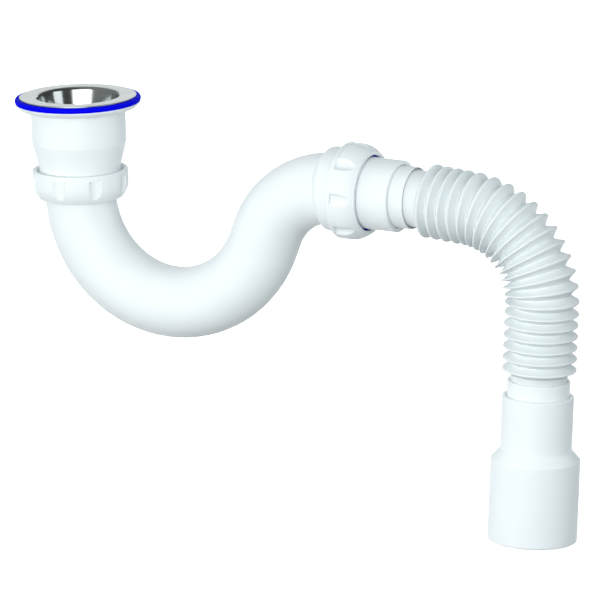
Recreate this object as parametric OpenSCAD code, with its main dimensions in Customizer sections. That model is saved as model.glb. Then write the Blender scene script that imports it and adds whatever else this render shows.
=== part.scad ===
// Sink trap for a basin waste, with a corrugated hose outlet.
// The origin is on the inlet axis, in the plane where the strainer flange meets its gasket.
// +Z points up out of the basin and the outlet runs towards +X.

/* [Strainer] */
// Inner diameter of the strainer cup at its mouth
cup_d = 45.8; // [40:0.2:56]
// Inner depth of the strainer cup below the seat plane
cup_depth = 13.2; // [9:0.1:16]
// Lean of the cup's wall, narrowing downwards
cup_lean_a = 14; // [0:0.5:18]
// Width of the flange, from the cup's inner wall to its edge
rim_w = 10.1; // [8:0.1:14]
// Thickness of the steel sheet
sheet_t = 0.8; // [0.5:0.1:1.2]
// Radius of the rounded lip where the flange turns down into the cup
lip_r = 2.2; // [1:0.1:3]
// Diameter of each drain hole
drain_d = 5.6; // [3:0.1:6.4]
// Number of drain holes in the outer ring
drain_n = 12; // [6:1:14]

/* [Centre screw] */
// Diameter of the screw's shank
screw_d = 6; // [4:0.1:8]
// How far the screw stands out below its insert
screw_tail = 0.7; // [0.5:0.1:2]
// Diameter of the screw's head
screw_head_d = 11; // [9:0.1:14]
// Height of the screw's head
screw_head_h = 3; // [2:0.1:4]

/* [Waste body] */
// Thickness of the gasket under the strainer flange
gasket_t = 2.75; // [2:0.05:4]
// How far the gasket stands out past the strainer flange
gasket_over = 2.6; // [1:0.1:4]
// Thickness of the body's flange
body_flange_t = 3.05; // [2:0.05:5]
// Wall of the body's barrel
barrel_wall = 2.5; // [1.8:0.1:4]
// Height of the barrel from the top of its flange to the crease
barrel_h = 22.65; // [18:0.05:30]
// Height of the tapered skirt below the crease
taper_h = 14.5; // [10:0.1:20]
// Length of the threaded spigot below the skirt
spigot_l = 13; // [11:0.1:16]

/* [Pipe bend] */
// Outer diameter of the plain pipe
pipe_d = 40; // [32:0.5:50]
// Wall of the plain pipe
pipe_wall = 2.2; // [1.5:0.1:3]
// How much the pipe's sealing tail and the sleeve stand out past the pipe of the bend
tail_swell = 0.25; // [0.2:0.05:0.5]
// Length of straight pipe above the end of the spigot
pipe_insert = 14.9; // [12:0.1:16]
// Length of straight pipe between the spigot and the first bend
pipe_drop = 2.2; // [1:0.1:12]
// Centre line radius of the U bend
u_bend_r = 59; // [48:0.5:80]
// Angle that the U bend turns through
u_bend_a = 157.7; // [140:0.1:170]
// Length of the straight limb between the two bends
limb_l = 7.8; // [1:0.1:60]
// Centre line radius of the return bend
return_bend_r = 44.6; // [36:0.1:70]
// Fall of the outlet below the horizontal
outlet_fall_a = 2.7; // [0:0.1:6]

/* [Threads and nuts] */
// Wall of a threaded spigot at the root of its thread
spigot_wall = 2.35; // [2:0.05:4]
// Depth of the thread
thread_depth = 0.9; // [0.6:0.05:1.5]
// Length of a union nut
nut_l = 16.3; // [15:0.1:24]
// Wall of a union nut at its rim
nut_wall = 3.1; // [2.4:0.1:4]
// Number of grip flutes round a nut
flute_n = 8; // [4:1:12]
// Radius of the cutter that leaves a grip flute
flute_r = 4.9; // [3:0.1:6]
// Depth of a grip flute
flute_depth = 2; // [1:0.1:2.2]
// Plain band between a nut's rim and its flutes
flute_start = 2.8; // [1.5:0.1:5]

/* [Outlet sleeve and collars] */
// Length of the sleeve past the end of the bend's socket
sleeve_show = 22.7; // [18:0.1:45]
// How far the sleeve reaches into the socket
sleeve_insert = 12; // [10:0.1:14]
// Visible length of a clip collar
collar_show = 8.6; // [6:0.1:12]
// How far a clip collar reaches into its sleeve
collar_insert = 7; // [5:0.1:10]
// Bore left between the hose's neck and a collar
collar_gap = 0.15; // [0.1:0.05:0.3]
// Wall of a clip collar
collar_wall = 1.4; // [1:0.1:2]
// Wall of the sleeve
sleeve_wall = 2.3; // [1.5:0.05:3]

/* [Corrugated hose] */
// Depth of the folds outside the plain necks
fold_depth = 4.85; // [3:0.05:6]
// Distance between folds
fold_pitch = 6.43; // [5:0.01:8]
// Number of folds
fold_n = 22; // [16:1:30]
// Wall of the hose
hose_wall = 0.8; // [0.6:0.1:1.2]
// Length of neck between the upper collar and the first fold
neck_upper_l = 10.4; // [6:0.1:16]
// Length of neck between the last fold and the lower collar
neck_lower_l = 6.6; // [5:0.1:12]
// Angle at which the neck sags where it leaves the upper collar
neck_sag_a = 3.7; // [0:0.1:6]
// Centre line radius of that sag
neck_sag_r = 60; // [50:1:100]
// Length of straight hose before its bend
hose_straight_l = 29.5; // [20:0.5:60]
// Centre line radius of the hose's bend
hose_bend_r = 48.75; // [45:0.25:70]
// Angle that the hose's bend turns through
hose_bend_a = 88.15; // [60:0.05:100]

/* [End coupling] */
// Wall of the coupling
coupling_wall = 2.25; // [1.8:0.05:3]
// Length of the coupling's upper part
coupling_upper_l = 30.8; // [25:0.1:40]
// Diameter of the coupling's lower part
coupling_lower_d = 50.4; // [42:0.1:64]
// Length of the coupling's lower part
coupling_lower_l = 46.8; // [35:0.1:60]
// Height of the cone between the two
coupling_cone_l = 5.5; // [4:0.1:10]

/* [Hidden] */
$fn = 96;
ARC_STEPS = 10;
HOSE_SIDES = 32;

white = [0.90, 0.93, 0.95];
blue = [0.02, 0.02, 0.92];
steel = [0.75, 0.76, 0.78];
brass = [0.80, 0.65, 0.30];

// Clearances
slide_gap = 0.3;
seal_gap = 0.3;
lip_gap = 0.15;
seal_relief = 0.8;
cup_gap = 0.5;
thread_gap = 0.3;
screw_gap = 0.1;
press_gap = 0.05;
eps = 0.01;
// Length by which one stretch of pipe laps over the next
lap = 0.5;

// Strainer
cup_r = cup_d / 2;
cup_outer_r = cup_r + sheet_t;
strainer_r = cup_r + rim_w;
cup_corner_r = 1.6;
cup_floor_r = cup_r + lip_r - (lip_r + cup_corner_r) / cos(cup_lean_a)
    - (cup_depth - cup_corner_r + sheet_t - lip_r) * tan(cup_lean_a);
screw_r = screw_d / 2;
screw_head_r = screw_head_d / 2;
drain_ring_r = cup_floor_r - drain_d / 2 - 1;
drain_inner_ring_r = (drain_ring_r - drain_d / 2 + screw_head_r) / 2;
drain_inner_d = min(drain_d, drain_ring_r - drain_d / 2 - screw_head_r - 2);
drain_least_d = 1.5;

// Waste body
gasket_r = strainer_r + gasket_over;
body_flange_r = gasket_r - 0.3;
body_flange_chamfer = body_flange_t - 0.65;
barrel_bore_r = cup_outer_r + cup_gap;
barrel_r = barrel_bore_r + barrel_wall;
flange_top_z = -gasket_t;
crease_z = flange_top_z - barrel_h;
spigot_top_z = crease_z - taper_h;
spigot_end_z = spigot_top_z - spigot_l;
bridge_z = crease_z + 3.4;
hub_h = 12;
hub_wall = 2;
rib_t = 2.5;
rib_h = 9;
rib_n = 4;
// How far the ribs run into the wall
rib_lap = 0.5;
insert_wall = 1.8;
insert_r = screw_r + insert_wall;
insert_flange_t = 1.5;
insert_end_z = bridge_z - hub_h - insert_flange_t;
screw_l = -cup_depth - insert_end_z + screw_tail;

// Pipe, thread and nut radii
pipe_r = pipe_d / 2;
pipe_bore_r = pipe_r - pipe_wall;
tail_r = pipe_r + tail_swell;
socket_bore_r = tail_r + slide_gap;
spigot_root_r = socket_bore_r + spigot_wall;
thread_crest_r = spigot_root_r + thread_depth;
nut_bore_r = thread_crest_r + thread_gap;
nut_r = nut_bore_r + nut_wall;

// Union nut, measured along its axis from its rim
nut_end_t = 1.9;
nut_shoulder_x = nut_l - nut_end_t;
nut_land_x = nut_shoulder_x - 2.9;
nut_barrel_l = 7;
nut_crown_r = 12.8;
nut_hole_r = tail_r + 1.15;
nut_shoulder_r = tail_r + 2.65;
nut_lead = 1.5;
nut_lead_r = nut_bore_r + 0.9;
nut_rim_round = 1;
nut_face_round = 0.6;
flute_axis_r = nut_r - flute_depth + flute_r;

// Cone seal, measured along the nut's axis
seal_r = nut_shoulder_r - 0.2;
seal_rim_t = 1.2;
seal_cone_l = 3.6;
seal_tip_r = tail_r + 0.65;
seal_lip_l = 2;
seal_lip_r = tail_r + lip_gap;
seal_tip_x = nut_shoulder_x - seal_rim_t - seal_cone_l;
seal_slope = (seal_r - seal_tip_r) / seal_cone_l;
// How far a spigot reaches into its nut, and the cone in its mouth that faces the seal
spigot_reach = nut_shoulder_x - seal_rim_t - 1.2;
mouth_r = seal_tip_r + seal_slope * (spigot_reach - seal_tip_x) + seal_gap;
mouth_l = (mouth_r - socket_bore_r) / seal_slope;

// Centre line of the bend: headings are angles from straight down towards +X
function heading(a) = [sin(a), 0, -cos(a)];
function across(a) = [cos(a), 0, sin(a)];
function turn_end(p, a0, a1, r) = p + sign(a1 - a0) * r * (across(a0) - across(a1));
outlet_a = 90 - outlet_fall_a;
u_start = [0, 0, spigot_end_z - pipe_drop];
u_end = turn_end(u_start, 0, u_bend_a, u_bend_r);
limb_end = u_end + limb_l * heading(u_bend_a);
outlet_start = turn_end(limb_end, u_bend_a, outlet_a, return_bend_r);

// Distances along the outlet axis from the end of the return bend
flare_start = -4.9;
flare_end = -0.8;
flare_round = 2.4;
flare_lean_a = 56;
outlet_nut_x = 6.3;
thread_start_x = outlet_nut_x - 0.6;
socket_end_x = outlet_nut_x + spigot_reach;
socket_floor_x = -lap;
sleeve_start_x = socket_end_x - sleeve_insert;
sleeve_end_x = socket_end_x + sleeve_show;
sleeve_round = 0.8;

// Collars and hose, measured along the hose
sleeve_bore_r = tail_r - sleeve_wall;
collar_r = sleeve_bore_r - slide_gap;
collar_bore_r = collar_r - collar_wall;
neck_r = collar_bore_r - collar_gap;
fold_r = neck_r + fold_depth;
collar_end_x = sleeve_end_x + collar_show;
collar_start_x = sleeve_end_x - collar_insert;
hose_seal_l = 4;
hose_end_tail = 6;
hose_start_x = collar_start_x - hose_end_tail;
sag_start_x = collar_end_x + 0.4;
sag_l = neck_sag_r * neck_sag_a * PI / 180;
bend_start_x = sag_start_x + sag_l + hose_straight_l;
hose_bend_l = hose_bend_r * hose_bend_a * PI / 180;
bend_end_x = bend_start_x + hose_bend_l;
first_fold_x = collar_end_x + neck_upper_l;
last_fold_x = first_fold_x + (fold_n - 1) * fold_pitch;
lower_collar_x = last_fold_x + neck_lower_l;
coupling_x = lower_collar_x + collar_show;
hose_end_x = coupling_x + collar_insert + hose_end_tail;

function sag_part(x) = min(max(x - sag_start_x, 0), sag_l);
function bend_part(x) = min(max(x - bend_start_x, 0), hose_bend_l);
function hose_a(x) =
    outlet_a - neck_sag_a * sag_part(x) / sag_l - hose_bend_a * bend_part(x) / hose_bend_l;
straight_a = outlet_a - neck_sag_a;
end_a = straight_a - hose_bend_a;
sag_start = outlet_start + sag_start_x * heading(outlet_a);
sag_end = turn_end(sag_start, outlet_a, straight_a, neck_sag_r);
bend_start = sag_end + hose_straight_l * heading(straight_a);
bend_end = turn_end(bend_start, straight_a, end_a, hose_bend_r);
function hose_at(x) =
    x <= sag_start_x ? outlet_start + x * heading(outlet_a)
    : x <= sag_start_x + sag_l ? turn_end(sag_start, outlet_a, hose_a(x), neck_sag_r)
    : x <= bend_start_x ? sag_end + (x - sag_start_x - sag_l) * heading(straight_a)
    : x <= bend_end_x ? turn_end(bend_start, straight_a, hose_a(x), hose_bend_r)
    : bend_end + (x - bend_end_x) * heading(end_a);

// Places children so that their +Z runs along a heading
module along(p, a) {
    translate(p) rotate([0, 180 - a, 0]) children();
}

function arc(c, r, a0, a1) =
    [for (i = [0 : ARC_STEPS]) c + r * [cos(a0 + (a1 - a0) * i / ARC_STEPS), sin(a0 + (a1 - a0) * i / ARC_STEPS)]];

module tube(r_out, r_in, l) {
    difference() {
        cylinder(r = r_out, h = l);
        translate([0, 0, -1]) cylinder(r = r_in, h = l + 2);
    }
}

module strainer_cup() {
    lip_c = [cup_r + lip_r, sheet_t - lip_r];
    lip_a = 180 - cup_lean_a;
    corner_c = [cup_floor_r, -cup_depth + cup_corner_r];
    edge_r = sheet_t / 2;
    color(steel) difference() {
        rotate_extrude() polygon(concat(
            [[screw_r + screw_gap, -cup_depth], [cup_floor_r, -cup_depth]],
            arc(corner_c, cup_corner_r, -90, -cup_lean_a),
            arc(lip_c, lip_r, lip_a, 90),
            arc([strainer_r - edge_r, edge_r], edge_r, 90, -90),
            arc(lip_c, lip_r - sheet_t, 90, lip_a),
            arc(corner_c, cup_corner_r + sheet_t, -cup_lean_a, -90),
            [[screw_r + screw_gap, -cup_depth - sheet_t]]
        ));
        for (i = [0 : drain_n - 1])
            rotate(i * 360 / drain_n) translate([drain_ring_r, 0, -cup_depth - sheet_t - 1])
                cylinder(d = drain_d, h = sheet_t + 2);
        if (drain_inner_d > drain_least_d)
            for (i = [0 : drain_n / 2 - 1])
                rotate((i + 0.25) * 720 / drain_n) translate([drain_inner_ring_r, 0, -cup_depth - sheet_t - 1])
                    cylinder(d = drain_inner_d, h = sheet_t + 2);
    }
}

module strainer_screw() {
    head_round = 1.2;
    slot_w = 1.4;
    slot_depth = 1.5;
    color(steel) translate([0, 0, -cup_depth]) difference() {
        union() {
            rotate_extrude() polygon(concat(
                [[0, 0], [screw_head_r, 0]],
                arc([screw_head_r - head_round, screw_head_h - head_round], head_round, 0, 90),
                [[0, screw_head_h]]
            ));
            translate([0, 0, -screw_l]) cylinder(r = screw_r, h = screw_l + eps);
        }
        translate([-screw_head_r - 1, -slot_w / 2, screw_head_h - slot_depth])
            cube([screw_head_d + 2, slot_w, slot_depth + 1]);
    }
}

module threaded_insert() {
    color(brass) difference() {
        union() {
            translate([0, 0, bridge_z - hub_h]) cylinder(r = insert_r, h = hub_h);
            translate([0, 0, insert_end_z]) cylinder(r = insert_r + hub_wall - 0.4, h = insert_flange_t);
        }
        translate([0, 0, insert_end_z - 1])
            cylinder(r = screw_r + screw_gap, h = hub_h + insert_flange_t + 2);
    }
}

module basin_gasket() {
    inner_r = cup_r + lip_r + 0.5;
    bulge_r = 1.9;
    bulge = bulge_r - sqrt(bulge_r * bulge_r - gasket_t * gasket_t / 4);
    bulge_a = asin(gasket_t / 2 / bulge_r);
    color(blue) rotate_extrude() polygon(concat(
        [[inner_r, 0]],
        arc([gasket_r - bulge_r, -gasket_t / 2], bulge_r, bulge_a, -bulge_a),
        [[inner_r, -gasket_t]]
    ));
}

// The space inside the barrel and the skirt, with a part of their wall
module body_inside(wall_part) {
    rotate_extrude() polygon([
        [0, flange_top_z],
        [barrel_bore_r + wall_part, flange_top_z],
        [barrel_bore_r + wall_part, crease_z],
        [socket_bore_r + wall_part, spigot_top_z],
        [0, spigot_top_z]
    ]);
}

// The cross bridge that holds the threaded insert
module bridge() {
    hub_r = insert_r + press_gap + hub_wall;
    translate([0, 0, bridge_z - hub_h]) tube(hub_r, insert_r + press_gap, hub_h);
    intersection() {
        for (i = [0 : rib_n - 1])
            rotate(45 + i * 360 / rib_n) translate([hub_r - 0.6, -rib_t / 2, bridge_z - rib_h])
                cube([barrel_r, rib_t, rib_h]);
        body_inside(rib_lap);
    }
}

module waste_body() {
    color(white) union() {
        rotate_extrude() polygon([
            [barrel_bore_r, flange_top_z],
            [body_flange_r, flange_top_z],
            [body_flange_r, flange_top_z - body_flange_t + body_flange_chamfer],
            [body_flange_r - body_flange_chamfer, flange_top_z - body_flange_t],
            [barrel_r, flange_top_z - body_flange_t],
            [barrel_r, crease_z],
            [spigot_root_r, spigot_top_z],
            [spigot_root_r, spigot_end_z],
            [mouth_r, spigot_end_z],
            [socket_bore_r, spigot_end_z + mouth_l],
            [socket_bore_r, spigot_top_z],
            [barrel_bore_r, crease_z]
        ]);
        bridge();
    }
}

// Union nut with its rim at z = 0 and its closed end up
module union_nut() {
    crown_c = [nut_r - nut_crown_r, nut_barrel_l];
    face_x = nut_l - nut_face_round;
    crown_a = asin((face_x - nut_barrel_l) / nut_crown_r);
    face_r = crown_c[0] + nut_crown_r * cos(crown_a);
    color(white) difference() {
        rotate_extrude() polygon(concat(
            [[nut_lead_r, 0]],
            arc([nut_r - nut_rim_round, nut_rim_round], nut_rim_round, -90, 0),
            arc(crown_c, nut_crown_r, 0, crown_a),
            arc([face_r - nut_face_round, face_x], nut_face_round, 0, 90),
            [
                [nut_hole_r, nut_l],
                [nut_hole_r, nut_shoulder_x],
                [nut_shoulder_r, nut_shoulder_x],
                [nut_bore_r, nut_land_x],
                [nut_bore_r, nut_lead]
            ]
        ));
        for (i = [0 : flute_n - 1])
            rotate(90 + i * 360 / flute_n) translate([flute_axis_r, 0, flute_start])
                cylinder(r = flute_r, h = nut_l);
    }
}

// Cone seal in the same place as it takes inside a union nut
module cone_seal() {
    color(blue) rotate_extrude() polygon([
        [seal_lip_r, seal_tip_x],
        [seal_tip_r, seal_tip_x],
        [seal_r, seal_tip_x + seal_cone_l],
        [seal_r, nut_shoulder_x],
        [seal_lip_r + seal_relief, nut_shoulder_x],
        [seal_lip_r + seal_relief, seal_tip_x + seal_lip_l + 0.5],
        [seal_lip_r, seal_tip_x + seal_lip_l]
    ]);
}

module at_inlet_nut() {
    along([0, 0, spigot_end_z + spigot_reach], 0) children();
}

module at_outlet_nut() {
    along(outlet_start + outlet_nut_x * heading(outlet_a), outlet_a) children();
}

module inlet_nut() {
    at_inlet_nut() union_nut();
}

module inlet_seal() {
    at_inlet_nut() cone_seal();
}

module outlet_nut() {
    at_outlet_nut() union_nut();
}

module outlet_seal() {
    at_outlet_nut() cone_seal();
}

// The bend as a solid bar of radius r, or its bore. The limb and both curves are drawn in the
// limb's own frame, so that they meet exactly, and the tail is a little thicker than the curves.
module bend_bar(r, extra) {
    translate([0, 0, u_start[2] - lap]) cylinder(r = r + tail_swell, h = lap + pipe_drop + pipe_insert + extra);
    along(u_end, u_bend_a) {
        cylinder(r = r, h = limb_l);
        translate([-u_bend_r, 0, 0]) rotate([90, 0, 0]) mirror([0, 1, 0])
            rotate_extrude(angle = u_bend_a) translate([u_bend_r, 0]) circle(r = r);
        translate([return_bend_r, 0, limb_l]) rotate([90, 0, 0]) mirror([1, 0, 0])
            rotate_extrude(angle = u_bend_a - outlet_a) translate([return_bend_r, 0]) circle(r = r);
    }
}

module trap_bend() {
    color(white) difference() {
        union() {
            bend_bar(pipe_r, 0);
            along(outlet_start, outlet_a) {
                rotate_extrude() polygon(concat(
                    [[0, flare_start], [pipe_r - 0.4, flare_start]],
                    arc([thread_crest_r - flare_round, flare_end], flare_round, -flare_lean_a, 0),
                    [[thread_crest_r, thread_start_x], [0, thread_start_x]]
                ));
                cylinder(r = spigot_root_r, h = socket_end_x);
            }
        }
        bend_bar(pipe_bore_r, 1);
        along(outlet_start, outlet_a) {
            translate([0, 0, socket_floor_x]) cylinder(r = socket_bore_r, h = socket_end_x + 1);
            translate([0, 0, socket_end_x - mouth_l])
                cylinder(r1 = socket_bore_r, r2 = mouth_r + seal_slope, h = mouth_l + 1);
        }
    }
}

module outlet_sleeve() {
    l = sleeve_end_x - sleeve_start_x;
    color(white) along(outlet_start + sleeve_start_x * heading(outlet_a), outlet_a)
        rotate_extrude() polygon(concat(
            [[sleeve_bore_r, 0], [tail_r, 0]],
            arc([tail_r - sleeve_round, l - sleeve_round], sleeve_round, 0, 90),
            [[sleeve_bore_r, l]]
        ));
}

// Clip collar with its inserted end at z = 0
module clip_collar() {
    l = collar_insert + collar_show;
    edge_r = 0.4;
    rotate_extrude() polygon(concat(
        [[collar_bore_r, 0], [collar_r, 0]],
        arc([collar_r - edge_r, l - edge_r], edge_r, 0, 90),
        [[collar_bore_r, l]]
    ));
}

module upper_collar() {
    color(white) along(outlet_start + collar_start_x * heading(outlet_a), outlet_a) clip_collar();
}

module lower_collar() {
    color(white) along(hose_at(coupling_x + collar_insert), end_a + 180) clip_collar();
}

// Rubber ring that seals the hose's neck behind a collar
module hose_seal() {
    color(blue) tube(sleeve_bore_r - lip_gap, neck_r + press_gap, hose_seal_l);
}

module upper_hose_seal() {
    along(outlet_start + (collar_start_x - hose_seal_l - 0.2) * heading(outlet_a), outlet_a) hose_seal();
}

module lower_hose_seal() {
    along(hose_at(coupling_x + collar_insert + 0.2), end_a) hose_seal();
}

// Stations of the hose's outer skin, as [distance, radius]
fold_half = fold_pitch / 2;
crest_half = 0.55;
crest_drop = 0.35;
function outer_fold(x) = [
    [x - crest_half, fold_r - crest_drop],
    [x, fold_r],
    [x + crest_half, fold_r - crest_drop]
];
// Stations of its inner skin
inner_crest_r = fold_r - 1.5 * hose_wall;
inner_valley_r = neck_r - hose_wall;
valley_half = 0.4;
function inner_fold(x) = [
    [x + fold_half - valley_half, inner_valley_r],
    [x, inner_crest_r],
    [x - fold_half + valley_half, inner_valley_r]
];

module corrugated_hose() {
    outer = [
        for (i = [0 : fold_n - 1]) let (x = first_fold_x + i * fold_pitch)
            each concat([[x - fold_half, neck_r]], outer_fold(x))
    ];
    inner = [
        for (i = [fold_n - 1 : -1 : 0]) each inner_fold(first_fold_x + i * fold_pitch)
    ];
    stations = concat(
        [[hose_start_x, neck_r], [sag_start_x, neck_r]],
        outer,
        [[last_fold_x + fold_half, neck_r], [hose_end_x, neck_r], [hose_end_x, inner_valley_r]],
        inner,
        [[sag_start_x, inner_valley_r], [hose_start_x, inner_valley_r]]
    );
    count = len(stations);
    points = [
        for (s = stations) let (c = hose_at(s[0]), n = across(hose_a(s[0])))
            for (j = [0 : HOSE_SIDES - 1]) let (q = j * 360 / HOSE_SIDES)
                c + s[1] * (cos(q) * n + sin(q) * [0, 1, 0])
    ];
    faces = [
        for (i = [0 : count - 1]) let (a = i * HOSE_SIDES, b = (i + 1) % count * HOSE_SIDES)
            for (j = [0 : HOSE_SIDES - 1]) let (k = (j + 1) % HOSE_SIDES)
                each [[a + j, a + k, b + j], [a + k, b + k, b + j]]
    ];
    color(white) polyhedron(points, faces);
}

module end_coupling() {
    upper_r = sleeve_bore_r + coupling_wall;
    lower_r = coupling_lower_d / 2;
    wall = coupling_wall;
    cone_x = coupling_upper_l;
    lower_x = cone_x + coupling_cone_l;
    end_x = lower_x + coupling_lower_l;
    ledge_x = collar_insert + hose_end_tail + 2;
    ledge_r = inner_valley_r;
    edge_r = 0.8;
    color(white) along(hose_at(coupling_x), end_a) rotate_extrude() polygon(concat(
        [[sleeve_bore_r, 0]],
        arc([upper_r - edge_r, edge_r], edge_r, -90, 0),
        [
            [upper_r, cone_x],
            [lower_r, lower_x],
            [lower_r, end_x - edge_r],
            [lower_r - edge_r, end_x],
            [lower_r - wall, end_x],
            [lower_r - wall, lower_x + wall / 2],
            [upper_r - wall, cone_x + wall / 2],
            [upper_r - wall, ledge_x + 2],
            [ledge_r, ledge_x + 2],
            [ledge_r, ledge_x],
            [sleeve_bore_r, ledge_x]
        ]
    ));
}

strainer_cup();
strainer_screw();
threaded_insert();
basin_gasket();
waste_body();
inlet_nut();
inlet_seal();
trap_bend();
outlet_nut();
outlet_seal();
outlet_sleeve();
upper_collar();
upper_hose_seal();
corrugated_hose();
lower_collar();
lower_hose_seal();
end_coupling();
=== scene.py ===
import math

import bmesh
import bpy
from mathutils import Matrix, Vector

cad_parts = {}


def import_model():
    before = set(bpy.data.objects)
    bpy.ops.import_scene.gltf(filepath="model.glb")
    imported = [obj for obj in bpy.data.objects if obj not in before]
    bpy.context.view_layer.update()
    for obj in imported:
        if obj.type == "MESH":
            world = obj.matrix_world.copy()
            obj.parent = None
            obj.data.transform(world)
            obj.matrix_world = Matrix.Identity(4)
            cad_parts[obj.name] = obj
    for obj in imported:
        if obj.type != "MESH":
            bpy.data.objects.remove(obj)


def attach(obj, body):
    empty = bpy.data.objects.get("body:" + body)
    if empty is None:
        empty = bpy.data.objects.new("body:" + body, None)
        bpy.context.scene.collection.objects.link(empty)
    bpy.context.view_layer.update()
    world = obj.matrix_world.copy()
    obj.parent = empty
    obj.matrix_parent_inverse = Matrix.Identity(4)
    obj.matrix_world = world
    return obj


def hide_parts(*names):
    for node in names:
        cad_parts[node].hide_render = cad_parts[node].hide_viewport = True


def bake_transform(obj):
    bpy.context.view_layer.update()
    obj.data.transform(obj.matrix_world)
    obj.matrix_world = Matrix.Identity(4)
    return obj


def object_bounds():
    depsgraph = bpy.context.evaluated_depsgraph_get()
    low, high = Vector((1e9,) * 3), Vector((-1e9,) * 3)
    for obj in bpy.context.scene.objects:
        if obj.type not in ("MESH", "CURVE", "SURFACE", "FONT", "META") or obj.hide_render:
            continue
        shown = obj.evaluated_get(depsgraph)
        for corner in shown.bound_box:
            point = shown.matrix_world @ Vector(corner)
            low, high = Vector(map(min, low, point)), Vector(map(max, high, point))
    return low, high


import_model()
cad_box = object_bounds()

# Sizes are in millimetres and turn into metres where a mesh is made
MM = 0.001

# Strainer cup and its screw
CUP_R = 22.9
CUP_DEPTH = 13.2
STRAINER_R = 33.0
SHEET_T = 0.8
LIP_R = 2.2
CUP_CORNER_R = 1.6
CUP_LEAN_A = 14.0
DRAIN_D = 5.6
DRAIN_N = 12
DRAIN_WEB = 1.0
SCREW_R = 3.0
SCREW_ROOT_R = 2.5
SCREW_CLEARANCE = 0.1
SCREW_SHANK_L = 3.0
SCREW_TIP_Z = -36.2
SCREW_TIP_L = 0.6
SCREW_PITCH = 1.0
SCREW_HEAD_R = 5.5
SCREW_HEAD_H = 3.0
SCREW_HEAD_ROUND = 1.2
SCREW_SLOT_W = 1.4
SCREW_SLOT_DEPTH = 1.5

# Waste body, its insert and the gasket
GASKET_R = 35.58
GASKET_T = 2.75
GASKET_BULGE_R = 1.9
GASKET_CLEARANCE = 0.5
BODY_FLANGE_R = 35.3
BODY_FLANGE_T = 3.05
FLANGE_CHAMFER = 2.4
FLANGE_FILLET = 0.6
BARREL_R = 26.7
BARREL_BORE_R = 24.2
CREASE_Z = -25.4
SPIGOT_TOP_Z = -39.9
SPIGOT_END_Z = -52.9
BRIDGE_Z = -22.0
HUB_H = 12.0
HUB_R = 6.85
INSERT_R = 4.8
INSERT_FLANGE_R = 6.4
INSERT_FLANGE_T = 1.5
INSERT_CLEARANCE = 0.05
RIB_T = 2.5
RIB_H = 9.0
RIB_N = 4
RIB_TURN = 45
RIB_SINK = 0.6
RIB_END_GAP = 0.1

# Threads
SPIGOT_ROOT_R = 22.9
THREAD_CREST_R = 23.8
THREAD_PITCH = 2.309
THREAD_CLEARANCE = 0.1
THREAD_BASE = 0.54
THREAD_CREST = 0.19
THREAD_SINK = 0.06
THREAD_RUN_IN = 0.4
THREAD_TOP_GAP = 2.2
THREAD_END_GAP = 0.9
THREAD_EDGE_GAP = 0.6

# Union nuts and their seals, measured from the nut's rim
NUT_L = 16.3
NUT_R = 27.2
NUT_BORE_R = 24.1
NUT_LEAD_R = 25.0
NUT_LEAD = 1.5
NUT_LAND_X = 11.5
NUT_SHOULDER_X = 14.4
NUT_SHOULDER_R = 22.9
NUT_HOLE_R = 21.4
NUT_BARREL_L = 7.0
NUT_CROWN_R = 12.8
NUT_RIM_ROUND = 1.0
NUT_END_ROUND = 0.6
NUT_THREAD_GAP = 0.3
FLUTE_N = 8
FLUTE_R = 4.9
FLUTE_AXIS_R = 30.1
FLUTE_START = 2.8
FLUTE_ROWS = (3.8, 5.4)
CLOSED_FLUTE_A = 0.004
SPIGOT_REACH = 12.0
MOUTH_R = 22.4
MOUTH_L = 3.7
SEAL_LIP_R = 20.4
SEAL_RELIEF = 0.8
SEAL_RELIEF_SLOPE = 0.5
SEAL_TIP_R = 20.9
SEAL_R = 22.7
SEAL_TIP_X = 9.6
SEAL_CONE_L = 3.6
SEAL_LIP_L = 2.0

# Pipe and the bend's centre line: angles are headings from straight down towards +X
PIPE_R = 20.0
PIPE_WALL = 2.2
TAIL_R = 20.25
TAIL_TOP_Z = -38.0
TAIL_FADE = 1.0
U_START_Z = -55.1
U_BEND_R = 59.0
U_BEND_A = 157.7
LIMB_L = 7.8
RETURN_BEND_R = 44.6
OUTLET_A = 87.3
FLARE_START = -4.6
FLARE_END = -0.8
FLARE_ROUND = 2.4
FLARE_LEAN_A = 56
FLARE_GAP = 0.6
SOCKET_BORE_R = 20.55
SOCKET_FLOOR_X = -0.5
BORE_START_X = -1.0
OUTLET_NUT_X = 6.3
SOCKET_END_X = 18.3

# Sleeve, collars and hose seals
SLEEVE_START_X = 6.3
SLEEVE_END_X = 41.0
SLEEVE_BORE_R = 17.95
SLEEVE_ROUND = 0.8
COLLAR_START_X = 34.0
COLLAR_R = 17.65
COLLAR_BORE_R = 16.25
COLLAR_INSERT = 7.0
COLLAR_SHOW = 8.6
RECESS_T = 0.8
RECESS_DEPTH = 2.5
HOSE_SEAL_L = 4.0
HOSE_SEAL_R = 17.8
HOSE_SEAL_BORE_R = 16.15
HOSE_SEAL_GAP = 0.2

# Corrugated hose, along a centre line that starts where the bend's ends
HOSE_START_X = 28.0
SAG_START_X = 50.0
SAG_A = 3.7
SAG_R = 60.0
HOSE_STRAIGHT_L = 29.5
HOSE_BEND_R = 48.75
HOSE_BEND_A = 88.15
NECK_R = 16.1
FOLD_R = 20.94
HOSE_WALL = 0.8
FIRST_FOLD_X = 60.0
FOLD_PITCH = 6.43
FOLD_N = 22
CREST_ROUND = 0.75
CREST_HALF_A = 65
NECK_LOWER_L = 6.6
HOSE_TAIL = 6.0

# End coupling
COUPLING_UPPER_R = 20.2
COUPLING_LOWER_R = 25.19
COUPLING_UPPER_L = 30.8
COUPLING_CONE_L = 5.5
COUPLING_LOWER_L = 46.8
COUPLING_WALL = 2.25
COUPLING_ROUND = 0.8
LEDGE_T = 2.0
LEDGE_GAP = 2.0

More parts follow.
